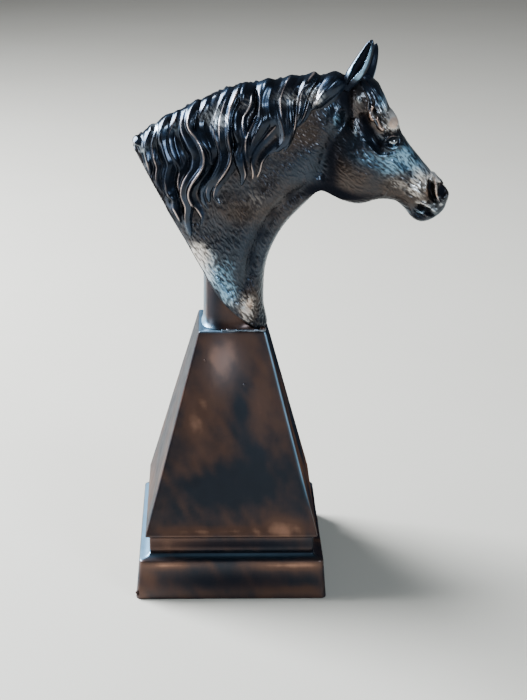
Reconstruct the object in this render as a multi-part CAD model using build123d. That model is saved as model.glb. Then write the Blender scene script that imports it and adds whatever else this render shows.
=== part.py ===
from build123d import *
from math import cos, pi, sin
import os

# Horse-head statuette on a stepped pyramid pedestal. Millimetres, +Z up, +X towards the horse's nose.
# Origin: centre of the plinth's underside. Every casting is hollow, and one tie rod clamps the stack.

# ---- driving dimensions -------------------------------------------------------------------------
PLINTH_WIDTH = 90.0            # across the plinth's foot
PLINTH_TOP_WIDTH = 86.8        # the plinth's sides lean in a little
PLINTH_HEIGHT = 19.4
PLINTH_CORNER_R = 2.6
COVE_RISE = 2.0                # the coved top of the plinth, up to the band
BAND_WIDTH = 77.2
BAND_TOP_Z = 30.2
PYRAMID_FOOT_WIDTH = 81.0
PYRAMID_TOP_WIDTH = 31.2
PYRAMID_TOP_Z = 123.8
WALL = 3.0                     # the castings' wall
DECK = 3.5                     # the plinth's deck
PYRAMID_CAP = 4.0              # the pyramid's closed top

FELT_T = 1.0
BOARD_T = 2.5
BOARD_GAP = 0.3                # round the closing board
LUG_SIZE = 9.0
SCREW_INSET = 6.2              # screw axis from the plinth's inner wall
SCREW_R = 1.5
SCREW_LENGTH = 9.0
SCREW_HEAD_R = 2.8
SCREW_HEAD_H = 1.4
SLOT_LENGTH = 3.4
SLOT_WIDTH = 0.7
SLOT_DEPTH = 1.2

ROD_R = 3.0                    # M6
ROD_HOLE_R = 3.3
ROD_FOOT_Z = 6.5
ROD_TOP_Z = 144.0
WASHER_R = 9.0
WASHER_T = 1.6
NUT_ACROSS_FLATS = 10.0
NUT_H = 5.0
INSERT_R = 4.6
INSERT_LENGTH = 22.0
PIN_R = 1.25
PIN_X = 8.6
PIN_LENGTH = 7.0

COLUMN_TOP_Z = 166.0
BUST_HALF_DEPTH = 40.0         # half of a box that covers the bust's width

# The neck's sections: back point (x, z), front point (x, z), half width. They fan round the throat.
NECK = [
    ((-12.6, 123.8), (15.2, 123.8), 13.6),
    ((-13.0, 139.0), (15.2, 139.0), 13.6),
    ((-15.5, 154.0), (15.8, 154.5), 13.8),
    ((-26.5, 172.0), (22.5, 170.0), 14.4),
    ((-37.0, 188.5), (31.5, 180.0), 14.8),
    ((-46.0, 207.0), (38.5, 187.5), 14.4),
    ((-37.0, 217.0), (41.5, 191.0), 13.8),
    ((-24.0, 224.8), (44.5, 195.0), 13.0),
    ((-8.0, 232.6), (47.5, 199.0), 12.2),
    ((10.0, 237.4), (51.0, 204.5), 11.4),
    ((26.0, 239.8), (54.0, 209.0), 10.8),
    ((42.0, 240.8), (59.0, 217.0), 10.2),
]
# The head's sections: forehead point (x, z), jaw point (x, z), half width.
HEAD = [
    ((46.0, 238.6), (46.0, 198.0), 7.0),
    ((57.0, 241.0), (51.0, 184.6), 11.6),
    ((67.0, 235.0), (60.0, 181.6), 13.8),
    ((73.8, 220.5), (67.5, 182.4), 14.2),
    ((80.6, 208.6), (74.0, 182.0), 11.4),
    ((88.2, 199.4), (79.4, 178.2), 8.8),
    ((94.4, 192.6), (83.0, 173.8), 8.2),
    ((99.0, 187.2), (88.4, 172.2), 7.8),
    ((99.6, 182.6), (93.6, 173.8), 4.8),
]
# The straight cut at the back of the mane, from its upper to its lower end, and the curved edge of
# the bust's skirt, which sweeps from there to the front of the column's foot.
CUT_TOP = (-46.0, 209.4)
CUT_FOOT = (-18.1, 159.4)
SKIRT_EDGE = [CUT_FOOT, (-14.9, 152.6), (-5.5, 136.2), (3.9, 127.4), (11.5, 122.0)]
# The mane's outline on the right side, below the crest, and on the left side, where it is short.
MANE_THICKNESS = 3.0
MANE_RIGHT = [(47.9, 229.0), (35.4, 222.0), (22.7, 204.0), (5.6, 191.0), (-6.7, 181.0), (-19.5, 163.0)]
MANE_LEFT = [(47.9, 233.0), (30.0, 228.0), (8.0, 221.0), (-14.0, 210.0), (-30.0, 196.0), (-38.0, 188.0)]
# The ears: foot centre, tip and foot radii along X and across Y; the left one is pricked further forward.
EAR_RIGHT = {"foot": (55.0, -7.6, 236.0), "tip": (60.4, -8.6, 257.6)}
EAR_LEFT = {"foot": (57.5, 7.6, 234.0), "tip": (64.6, 8.6, 253.6)}
EAR_RADII = (4.9, 3.9)


# ---- helpers ------------------------------------------------------------------------------------
def square(width, z, corner_r=0.0):
    """A square face centred on Z, with rounded corners if asked."""
    plane = Plane.XY.offset(z)
    if corner_r > 0:
        return plane * RectangleRounded(width, width, corner_r)
    return plane * Rectangle(width, width)


def post(r, z0, z1, x=0.0, y=0.0):
    """An upright round bar from z0 to z1."""
    return Pos(x, y, (z0 + z1) / 2) * Cylinder(r, z1 - z0)


def half_section(back, front, half_width, inset=0.0):
    """The right half of an oval across the bust, between two points of the mid-plane."""
    a = Vector(back[0], 0, back[1])
    b = Vector(front[0], 0, front[1])
    along = (b - a).normalized()
    plane = Plane(origin=(a + b) * 0.5, x_dir=along, z_dir=along.cross(Vector(0, 1, 0)))
    length = (b - a).length / 2 - inset
    depth = half_width - inset
    quarters = [k * pi / 4 for k in range(5)]
    rim = Spline(*[(-length * cos(t), -depth * sin(t)) for t in quarters], tangents=[(0, -1), (0, 1)])
    return plane * make_face([rim, Line(rim @ 1, rim @ 0)])


def half_tube(sections, inset=0.0, grow=0.0):
    """A smooth closed solid on the right of the mid-plane, through a list of sections."""
    return loft([half_section(a, b, w + grow, inset) for a, b, w in sections])


def slab(outline_points, y0, y1):
    """A straight-sided slab with the given outline in XZ, between two depths."""
    outline = make_face(Polyline(*[(x, 0, z) for x, z in outline_points], close=True))
    deep = extrude(outline, amount=y1 - y0, dir=(0, 1, 0))
    return Pos(0, y0, 0) * deep


# ---- pedestal -----------------------------------------------------------------------------------
def plinth_shell():
    """Low square plinth: leaning sides, a coved top, a deck with the rod's hole and four screw lugs."""
    body = loft([square(PLINTH_WIDTH, 0, PLINTH_CORNER_R),
                 square(PLINTH_TOP_WIDTH, PLINTH_HEIGHT, PLINTH_CORNER_R)])
    cove_top = PLINTH_HEIGHT + COVE_RISE
    cove = loft([square(PLINTH_TOP_WIDTH - 1.2, PLINTH_HEIGHT, 1.2),
                 square(BAND_WIDTH + 1.8, PLINTH_HEIGHT + 0.5, 1.0),
                 square(BAND_WIDTH, cove_top, 0.8)], ruled=True)
    inner = PLINTH_TOP_WIDTH - 2 * WALL
    hollow_top = PLINTH_HEIGHT - DECK
    hollow = extrude(square(inner, 0, 1.0), amount=hollow_top)
    shell = body + cove - hollow
    lug_z0 = FELT_T + BOARD_T
    reach = inner / 2 - LUG_SIZE / 2
    screw_at = inner / 2 - SCREW_INSET
    for sx in (-1, 1):
        for sy in (-1, 1):
            lug = Box(LUG_SIZE, LUG_SIZE, hollow_top - lug_z0)
            shell += Pos(sx * reach, sy * reach, (lug_z0 + hollow_top) / 2) * lug
            shell -= post(SCREW_R, 0, FELT_T + SCREW_LENGTH, sx * screw_at, sy * screw_at)
    well = square(BAND_WIDTH - 4 * WALL, PLINTH_HEIGHT, 2.0)
    shell -= extrude(well, amount=COVE_RISE + 1)
    return shell - post(ROD_HOLE_R, 0, cove_top)


def recessed_band():
    """Square frame set back under the pyramid, with a spigot that locates the pyramid."""
    z0 = PLINTH_HEIGHT + COVE_RISE
    frame = extrude(square(BAND_WIDTH, z0, 0.8), amount=BAND_TOP_Z - z0)
    spigot_width = BAND_WIDTH - 2 * WALL
    frame += extrude(square(spigot_width, BAND_TOP_Z, 1.0), amount=WALL)
    opening = square(BAND_WIDTH - 4 * WALL, z0, 2.0)
    return frame - extrude(opening, amount=BAND_TOP_Z - z0 + WALL)


def pyramid_shell():
    """Hollow truncated pyramid with a closed top."""
    body = loft([square(PYRAMID_FOOT_WIDTH, BAND_TOP_Z, 0.6),
                 square(PYRAMID_TOP_WIDTH, PYRAMID_TOP_Z, 0.6)])
    slope = (PYRAMID_FOOT_WIDTH - PYRAMID_TOP_WIDTH) / (PYRAMID_TOP_Z - BAND_TOP_Z)
    roof_z = PYRAMID_TOP_Z - PYRAMID_CAP
    foot = PYRAMID_FOOT_WIDTH - 2 * WALL
    hollow = loft([square(foot, BAND_TOP_Z), square(foot - slope * (roof_z - BAND_TOP_Z), roof_z)])
    shell = body - hollow - post(ROD_HOLE_R, roof_z, PYRAMID_TOP_Z)
    for x in (-PIN_X, PIN_X):
        shell -= post(PIN_R, PYRAMID_TOP_Z - PIN_LENGTH / 2, PYRAMID_TOP_Z, x)
    return shell


def base_board():
    """Closing board with countersunk holes."""
    inner = PLINTH_TOP_WIDTH - 2 * WALL
    board = extrude(square(inner - 2 * BOARD_GAP, FELT_T, 0.9), amount=BOARD_T)
    at = inner / 2 - SCREW_INSET
    for sx in (-1, 1):
        for sy in (-1, 1):
            board -= screw_solid(sx * at, sy * at)
    return board


def screw_solid(x, y):
    """One countersunk screw, head down."""
    head = Pos(x, y, FELT_T + SCREW_HEAD_H / 2) * Cone(SCREW_HEAD_R, SCREW_R, SCREW_HEAD_H)
    return head + post(SCREW_R, FELT_T, FELT_T + SCREW_LENGTH, x, y)


def board_screws():
    """The four screws with their cross slots."""
    at = PLINTH_TOP_WIDTH / 2 - WALL - SCREW_INSET
    screws = []
    for sx in (-1, 1):
        for sy in (-1, 1):
            cross = Box(SLOT_LENGTH, SLOT_WIDTH, SLOT_DEPTH) + Box(SLOT_WIDTH, SLOT_LENGTH, SLOT_DEPTH)
            screws.append(screw_solid(sx * at, sy * at) - Pos(sx * at, sy * at, FELT_T) * cross)
    return Compound(children=screws)


def felt_pad():
    """Baize pad, flush with the plinth's rim."""
    inner = PLINTH_TOP_WIDTH - 2 * WALL
    return extrude(square(inner - 2 * BOARD_GAP, 0, 0.9), amount=FELT_T)


# ---- tie rod and its fittings -------------------------------------------------------------------
def tie_rod():
    rod = post(ROD_R, ROD_FOOT_Z, ROD_TOP_Z)
    ends = rod.edges().filter_by(GeomType.CIRCLE)
    return chamfer(ends, 0.6)


def tie_washer():
    top = PLINTH_HEIGHT - DECK
    return post(WASHER_R, top - WASHER_T, top) - post(ROD_R, top - WASHER_T, top)


def tie_nut():
    top = PLINTH_HEIGHT - DECK - WASHER_T
    hexagon = Plane.XY.offset(top - NUT_H) * RegularPolygon(NUT_ACROSS_FLATS / 2, 6, major_radius=False)
    return extrude(hexagon, amount=NUT_H) - post(ROD_R, top - NUT_H, top)


def column_insert():
    top = PYRAMID_TOP_Z + INSERT_LENGTH
    return post(INSERT_R, PYRAMID_TOP_Z, top) - post(ROD_R, PYRAMID_TOP_Z, top)


def locating_pins():
    z0 = PYRAMID_TOP_Z - PIN_LENGTH / 2
    return Compound(children=[post(PIN_R, z0, z0 + PIN_LENGTH, x) for x in (-PIN_X, PIN_X)])


# ---- column and bust ----------------------------------------------------------------------------
def column_body():
    """The smooth column's outer shape: a coved square foot that runs up into a round post."""
    z = PYRAMID_TOP_Z
    foot = loft([square(PYRAMID_TOP_WIDTH - 0.4, z, 1.0),
                 square(28.4, z + 1.6, 6.0),
                 square(26.0, z + 5.2, 10.5),
                 square(25.0, z + 9.0, 12.0)])
    lower = Plane(origin=(0.3, 0, z + 8.0)) * Ellipse(12.9, 12.4)
    middle = Plane(origin=(0.3, 0, z + 20.0)) * Ellipse(12.7, 12.0)
    upper = Plane(origin=(-0.2, 0, COLUMN_TOP_Z)) * Ellipse(12.0, 11.4)
    return foot + loft([lower, middle, upper])


def neck_column(body):
    """The column with the insert's and the pins' holes. The bust's skirt stands on its front corner."""
    column = body - post(INSERT_R, PYRAMID_TOP_Z, PYRAMID_TOP_Z + INSERT_LENGTH)
    for x in (-PIN_X, PIN_X):
        column -= post(PIN_R, PYRAMID_TOP_Z, PYRAMID_TOP_Z + PIN_LENGTH / 2, x)
    return column


def cut_away():
    """What lies behind the mane's straight cut and behind the skirt's curved edge."""
    edge = Spline(*[(x, 0, z) for x, z in SKIRT_EDGE])
    far = -90.0
    low = 100.0
    end = SKIRT_EDGE[-1]
    slope = (CUT_TOP[1] - CUT_FOOT[1]) / (CUT_TOP[0] - CUT_FOOT[0])
    top = (far, CUT_TOP[1] + slope * (far - CUT_TOP[0]))
    corners = [end, (end[0], low), (far, low), top, CUT_FOOT]
    rest = Polyline(*[(x, 0, z) for x, z in corners])
    outline = make_face(Wire([edge, *rest.edges()]))
    deep = extrude(outline, amount=2 * BUST_HALF_DEPTH, dir=(0, 1, 0))
    return Pos(0, -BUST_HALF_DEPTH, 0) * deep


def mane_layer(lower_edge):
    """A layer over the neck's skin on the right side, from the crest down to lower_edge."""
    above = [(-70.0, 190.0), (-70.0, 260.0), (47.9, 260.0)]
    return slab(above + lower_edge, -BUST_HALF_DEPTH, 0) & half_tube(NECK[3:], grow=MANE_THICKNESS)


def bust_half(mane_edge):
    """The right half of the bust's outer shape, and the room inside it."""
    body = half_tube(NECK) + half_tube(HEAD) + mane_layer(mane_edge) - cut_away()
    hollow = half_tube(NECK[3:-1], inset=WALL + 0.4) + half_tube(HEAD[1:7], inset=WALL)
    hollow -= slab([(-70, 150), (-70, 260), (-44, 216), (-12, 158)], -BUST_HALF_DEPTH, 0)
    return body, hollow


def ear(foot, tip):
    """A cupped ear: a leaf-shaped cone with a hollow scooped out of its outer front."""
    fx, fy, fz = foot
    tx, ty, tz = tip
    rx, ry = EAR_RADII
    sections = []
    for t, swell in ((0.0, 0.82), (0.3, 1.0), (0.6, 0.78), (0.85, 0.42), (1.0, 0.08)):
        at = (fx + (tx - fx) * t, fy + (ty - fy) * t, fz + (tz - fz) * t)
        sections.append(Plane(origin=at) * Ellipse(rx * swell, ry * swell))
    return loft(sections)


def main():
    os.makedirs("parts", exist_ok=True)
    column = column_body()
    body_right, hollow_right = bust_half(MANE_RIGHT)
    body_left, hollow_left = [shape.mirror(Plane.XZ) for shape in bust_half(MANE_LEFT)]
    right = body_right - hollow_right - column
    left = body_left - hollow_left - column
    ear_right = ear(**EAR_RIGHT) - body_right
    ear_left = ear(**EAR_LEFT) - body_left
    nodes = {
        "plinth_shell": plinth_shell(),
        "recessed_band": recessed_band(),
        "pyramid_shell": pyramid_shell(),
        "base_board": base_board(),
        "board_screws": board_screws(),
        "felt_pad": felt_pad(),
        "tie_rod": tie_rod(),
        "tie_washer": tie_washer(),
        "tie_nut": tie_nut(),
        "column_insert": column_insert(),
        "locating_pins": locating_pins(),
        "neck_column": neck_column(column),
        "bust_right_half": right,
        "bust_left_half": left,
        "ear_right": ear_right,
        "ear_left": ear_left,
    }
    for name, shape in nodes.items():
        export_step(shape, f"parts/{name}.step")
        print(name, len(shape.solids()), round(shape.volume / 1000, 2), shape.is_valid)


main()
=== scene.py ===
import math
from functools import partialmethod

import bmesh
import bpy
import numpy as np
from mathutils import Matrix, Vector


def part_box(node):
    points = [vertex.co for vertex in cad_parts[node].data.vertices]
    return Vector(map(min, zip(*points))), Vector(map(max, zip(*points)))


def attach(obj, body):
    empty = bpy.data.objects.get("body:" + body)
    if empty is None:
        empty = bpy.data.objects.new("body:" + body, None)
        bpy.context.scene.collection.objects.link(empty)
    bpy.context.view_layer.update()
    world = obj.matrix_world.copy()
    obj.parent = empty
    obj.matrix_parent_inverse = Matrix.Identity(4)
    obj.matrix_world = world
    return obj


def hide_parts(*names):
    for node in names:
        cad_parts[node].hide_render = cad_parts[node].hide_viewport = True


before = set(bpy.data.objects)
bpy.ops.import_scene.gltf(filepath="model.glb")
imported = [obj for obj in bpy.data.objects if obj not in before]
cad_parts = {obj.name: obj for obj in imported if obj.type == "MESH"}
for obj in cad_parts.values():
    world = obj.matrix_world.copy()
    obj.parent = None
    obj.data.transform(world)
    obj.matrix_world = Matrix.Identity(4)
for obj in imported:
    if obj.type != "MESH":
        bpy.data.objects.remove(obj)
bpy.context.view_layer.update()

import openvdb
from mathutils import Matrix, Vector

# Horse-head statuette on a stepped pyramid pedestal. The sculpted pieces are made as solid fields, in
# millimetres in the frame's axes, and turned into meshes in metres. +X is towards the nose.
MM = 0.001
SEED = 11
VOXEL = 0.30       # mm, the bust's mesh pitch
MAP_STEP = 0.20                            # mm, pitch of the side-view maps
COARSE = 4                                 # outline, thickness and lie are worked out on every 4th map point
FAR = 1e9                                  # stands for a distance that was not worked out
RIGHT, LEFT = -1, 1                        # the sides' signs along Y


def node_mm(name):
    """A CAD node's lowest and highest corner, in millimetres."""
    lo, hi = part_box(name)
    return np.array(lo) / MM, np.array(hi) / MM


_, PLINTH_HI = node_mm("plinth_shell")
BAND_LO, BAND_HI = node_mm("recessed_band")
PYRAMID_LO, PYRAMID_HI = node_mm("pyramid_shell")
_, COLUMN_HI = node_mm("neck_column")
TOP_Z = PYRAMID_HI[2]                      # the pyramid's flat top, where the column stands


# ---- camera ----
CAMERA_PLACE = (-0.0131, -0.7097, 0.3798)
CAMERA_TURN = (-2.29, 20.88, 0.86)         # degrees: yaw, downward pitch and roll
LENS, SENSOR_WIDTH = 82.3, 36.0            # mm


def make_camera():
    """A long lens from the horse's right side, above the plinth, as the statuette was seen."""
    yaw, pitch, roll = (math.radians(a) for a in CAMERA_TURN)
    look = Vector((-math.sin(yaw) * math.cos(pitch), math.cos(yaw) * math.cos(pitch), -math.sin(pitch)))
    right = Vector((math.cos(yaw), math.sin(yaw), 0))
    up = right.cross(look)
    right, up = (math.cos(roll) * right + math.sin(roll) * up, math.cos(roll) * up - math.sin(roll) * right)
    cam = bpy.data.objects.new("camera", bpy.data.cameras.new("camera"))
    cam.data.lens = LENS
    cam.data.sensor_width = SENSOR_WIDTH
    cam.data.clip_start = 0.01
    cam.matrix_world = Matrix.Translation(CAMERA_PLACE) @ Matrix((right, up, -look)).transposed().to_4x4()
    bpy.context.scene.collection.objects.link(cam)
    bpy.context.scene.camera = cam


make_camera()


# ---- curves and side-view maps ----
XS = np.arange(-52.0, 104.0, MAP_STEP)
ZS = np.arange(118.0, 246.0, MAP_STEP)
X, Z = np.meshgrid(XS, ZS, indexing="ij")
XC, ZC = X[::COARSE, ::COARSE], Z[::COARSE, ::COARSE]


def smooth_line(points, per_span=8, closed=False):
    """A Catmull-Rom curve through the points, as an (n, 2) array."""
    p = np.array(points, float)
    if closed:
        p = np.vstack([p[-1], p, p[0], p[1]])
    else:
        p = np.vstack([2 * p[0] - p[1], p, 2 * p[-1] - p[-2]])
    t = np.linspace(0, 1, per_span, endpoint=False)[:, None]
    spans = []
    for a, b, c, d in zip(p[:-3], p[1:-2], p[2:-1], p[3:]):
        spans.append(0.5 * (2 * b + (c - a) * t + (2 * a - 5 * b + 4 * c - d) * t**2
                            + (3 * b - a - 3 * c + d) * t**3))
    line = np.vstack(spans)
    return line if closed else np.vstack([line, p[-2]])


def smoothstep(lo, hi, v):
    t = np.clip((v - lo) / (hi - lo), 0, 1)
    return t * t * (3 - 2 * t)


def smooth_min(a, b, k):
    """The smaller of two fields, with the seam between them rounded over about k."""
    h = np.clip(0.5 + 0.5 * (a - b) / k, 0, 1)
    return a * (1 - h) + b * h - k * h * (1 - h)


def trace(points, reach, per_span=8):
    """Distance to a curve, the side it is on (+ to the right of travel) and how far along, near the curve.

    Returns the map window as two slices and the three arrays in it."""
    line = smooth_line(points, per_span)
    steps = np.hypot(*np.diff(line, axis=0).T)
    reached = np.concatenate([[0], np.cumsum(steps)]) / steps.sum()
    lo, hi = line.min(0) - reach, line.max(0) + reach
    i0, i1 = np.searchsorted(XS, [lo[0], hi[0]])
    k0, k1 = np.searchsorted(ZS, [lo[1], hi[1]])
    shape = (max(i1 - i0, 0), max(k1 - k0, 0))
    near, side, share = np.full(shape, FAR), np.zeros(shape), np.zeros(shape)
    for (ax, az), (bx, bz), s0, s1 in zip(line[:-1], line[1:], reached[:-1], reached[1:]):
        a0, a1 = np.searchsorted(XS[i0:i1], [min(ax, bx) - reach, max(ax, bx) + reach])
        c0, c1 = np.searchsorted(ZS[k0:k1], [min(az, bz) - reach, max(az, bz) + reach])
        if a1 <= a0 or c1 <= c0:
            continue
        x = X[i0 + a0:i0 + a1, k0 + c0:k0 + c1] - ax
        z = Z[i0 + a0:i0 + a1, k0 + c0:k0 + c1] - az
        dx, dz = bx - ax, bz - az
        t = np.clip((x * dx + z * dz) / (dx * dx + dz * dz + 1e-12), 0, 1)
        d = np.hypot(x - t * dx, z - t * dz)
        box = (slice(a0, a1), slice(c0, c1))
        closer = d < near[box]
        near[box] = np.where(closer, d, near[box])
        side[box] = np.where(closer, np.sign(x * dz - z * dx), side[box])
        share[box] = np.where(closer, s0 + t * (s1 - s0), share[box])
    return (slice(i0, i1), slice(k0, k1)), near, side, share


def sample(values, x, z, xs=XS, zs=ZS):
    """Bilinear lookup in a side-view map, or in another regular grid, at any points."""
    u = np.clip((x - xs[0]) / (xs[1] - xs[0]), 0, len(xs) - 1.001)
    v = np.clip((z - zs[0]) / (zs[1] - zs[0]), 0, len(zs) - 1.001)
    i, k = u.astype(int), v.astype(int)
    fu, fv = u - i, v - k
    return ((values[i, k] * (1 - fv) + values[i, k + 1] * fv) * (1 - fu)
            + (values[i + 1, k] * (1 - fv) + values[i + 1, k + 1] * fv) * fu)


def refine(values):
    """A coarse map brought to the full map's pitch."""
    return sample(values, X, Z, XS[::COARSE], ZS[::COARSE])


def outline_distance(line):
    """Signed distance to a closed outline over the whole map, negative inside."""
    near = np.full(XC.shape, FAR)
    inside = np.zeros(XC.shape, bool)
    for (ax, az), (bx, bz) in zip(line, np.roll(line, -1, axis=0)):
        dx, dz = bx - ax, bz - az
        t = np.clip(((XC - ax) * dx + (ZC - az) * dz) / (dx * dx + dz * dz + 1e-12), 0, 1)
        near = np.minimum(near, np.hypot(XC - ax - t * dx, ZC - az - t * dz))
        if az != bz:
            inside ^= (ZC > min(az, bz)) & (ZC <= max(az, bz)) & (XC < ax + (ZC - az) * dx / dz)
    return refine(np.where(inside, -near, near))


def line_side(a, b):
    """Signed distance to the line a-b over the map, positive on the right of travel from a to b."""
    dx, dz = b[0] - a[0], b[1] - a[1]
    return ((X - a[0]) * dz - (Z - a[1]) * dx) / math.hypot(dx, dz)


def curve_side(points, reach=60.0):
    """Signed distance to a long curve, positive on the right of travel; -reach where that is farther."""
    box, near, side, _ = trace(points, reach)
    out = np.full_like(X, -reach)
    out[box] = np.where(near < FAR, near * side, -reach)
    return out


def spread(controls, reach):
    """A smooth map through scattered values: controls are (x, z, value)."""
    total = np.zeros(XC.shape)
    weight = np.full(XC.shape, 1e-12)
    for cx, cz, value in controls:
        r2 = (XC - cx) ** 2 + (ZC - cz) ** 2
        w = np.exp(-r2 / (2 * reach**2)) + 1e-4 / (1 + r2 / reach**2) ** 2
        total += w * value
        weight += w
    return refine(total / weight)


def blur(values, sigma):
    """Gaussian blur of a map, sigma in millimetres."""
    n = max(int(3 * sigma / MAP_STEP), 1)
    k = np.exp(-0.5 * (np.arange(-n, n + 1) * MAP_STEP / sigma) ** 2)
    k /= k.sum()
    out = values
    for axis in (0, 1):
        pad = [(0, 0), (0, 0)]
        pad[axis] = (n, n)
        wide = np.pad(out, pad, mode="edge")
        out = sum(w * np.take(wide, np.arange(j, j + out.shape[axis]), axis) for j, w in enumerate(k))
    return out


def ridge(target, points, width, height, taper=True):
    """Adds a rounded ridge, or with a negative height a groove, along a curve of the side view."""
    box, near, _, share = trace(points, 3 * width)
    shape = np.exp(-((near / width) ** 2))
    if taper:
        shape *= smoothstep(0, 0.18, share) * smoothstep(1.0, 0.82, share)
    target[box] += height * shape


def bump(target, x, z, rx, rz, height, turn=0.0, power=2.0):
    """Adds a rounded boss, or with a negative height a hollow, turned by so many degrees."""
    c, s = math.cos(math.radians(turn)), math.sin(math.radians(turn))
    u, v = (X - x) * c + (Z - z) * s, (Z - z) * c - (X - x) * s
    r = np.sqrt((u / rx) ** 2 + (v / rz) ** 2)
    target += height * np.exp(-(r**power))


# ---- the bust's side outline and thickness ----
# The straight cut behind the mane, and the edge of the skirt that sweeps round the smooth column.
CUT_TOP, CUT_FOOT = (-46, 209.2), (-18, 159.6)
SKIRT_EDGE = [(-30, 181), CUT_FOOT, (-12.2, 149.2), (-5.2, 138.6), (1.5, 131.6), (7.5, 126.8),
              (11, 123.4), (14, 119)]
OUTLINE = [
    (14.8, 116), (14.8, 134), (14.9, 146), (15.7, 155), (18.6, 163.5), (23.6, 172), (30.3, 179.6),
    (36.6, 186.7), (40.8, 188.4), (45.4, 186.6), (51, 184.2), (58, 183), (66.6, 184.5), (74.6, 183.2),
    (79, 179.3), (82, 175.9), (86, 173.3), (90.2, 173.6), (94.4, 176), (97.2, 179), (98.4, 182.2),
    (99.2, 185), (99.2, 187), (97.8, 189), (94.2, 192.6), (90.8, 196.2), (87.8, 199.6), (83.9, 204.2),
    (80, 208.8), (76.6, 213.6), (74.2, 218.4), (71.6, 223.6), (69.2, 228.6), (66.8, 233.6), (64.4, 237.6),
    (60, 239.6), (54, 239.6), (47, 238.8), (34, 238.4), (25, 238), (16, 236.2), (8, 234.8), (2, 233.8),
    (-6, 231.4), (-14.9, 226.4), (-24, 222.4), (-33, 216.8), (-42, 210.4), (-47, 206.6), (-50, 203),
    (-37, 184), (-24.4, 163.6), (-18.4, 150), (-15.6, 136), (-14.6, 116),
]
# Half thickness across the mid-plane: (x, z, mm).
THICKNESS = [
    (-44, 207, 3.6), (-38, 211, 4.4), (-30, 216, 5), (-20, 222, 5.4), (-10, 227, 5.8), (0, 231, 6.2),
    (10, 233, 6.4), (20, 235, 6.6), (30, 236, 6.8), (42, 237, 7.2), (-36, 200, 7.6), (-28, 205, 9.6),
    (-18, 210, 11), (-6, 215, 11.6), (8, 219, 11.8), (22, 222, 11.4), (36, 225, 10.6), (-30, 190, 9.4),
    (-22, 178, 11), (-14, 192, 13), (2, 198, 13.8), (16, 205, 13.2), (28, 210, 12.2), (38, 214, 11),
    (-14, 172, 13.2), (0, 178, 14.4), (14, 186, 13.6), (26, 194, 12.2), (36, 200, 10.8), (-8, 158, 14.2),
    (4, 162, 14.6), (12, 168, 13.6), (20, 176, 12.2), (30, 186, 10.8), (-4, 145, 14.6), (6, 148, 14.4),
    (12, 155, 13.6), (4, 132, 14.6), (12, 134, 13.8), (12, 124, 14.2), (47, 234, 7.4), (55, 236, 8),
    (62, 235, 8.4), (67, 230, 8.6), (50, 224, 9), (58, 226, 10.2), (64, 224, 11.2), (69, 220, 11.6),
    (49, 212, 10.4), (54, 206, 12.4), (52, 196, 12.6), (50, 190, 11.4), (60, 198, 13.2), (60, 190, 12.2),
    (62, 212, 12.2), (68, 213, 12.8), (73, 212, 11.4), (68, 204, 12), (72, 196, 9.8), (68, 188, 9.4),
    (77, 204, 9), (80, 196, 8.2), (76, 188, 7.8), (84, 200, 7.4), (86, 192, 7.2), (82, 182, 6.6),
    (90, 193, 6.2), (89, 185, 7.2), (94, 188, 6.8), (86, 176, 5.2), (92, 180, 6.6), (97, 185, 5.6),
    (96, 180, 5.4),
]
# How round the outline's edge is: (x, z, mm).
ROUNDING = [
    (-44, 207, 3.2), (-30, 214, 4.2), (-10, 226, 5), (10, 232, 5.6), (30, 235, 6), (46, 236, 6.4),
    (-32, 192, 3), (-24, 180, 5), (-18, 166, 12), (-12, 150, 14), (-4, 136, 14), (0, 195, 12),
    (30, 190, 10), (20, 175, 12), (12, 150, 13), (12, 130, 13), (40, 192, 6), (52, 188, 6.5),
    (64, 186, 6.5), (76, 184, 6), (86, 175, 5), (96, 180, 5), (98, 186, 4.6), (90, 196, 4.6),
    (80, 208, 5.6), (72, 222, 7), (64, 236, 7), (54, 238, 7),
]


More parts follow.
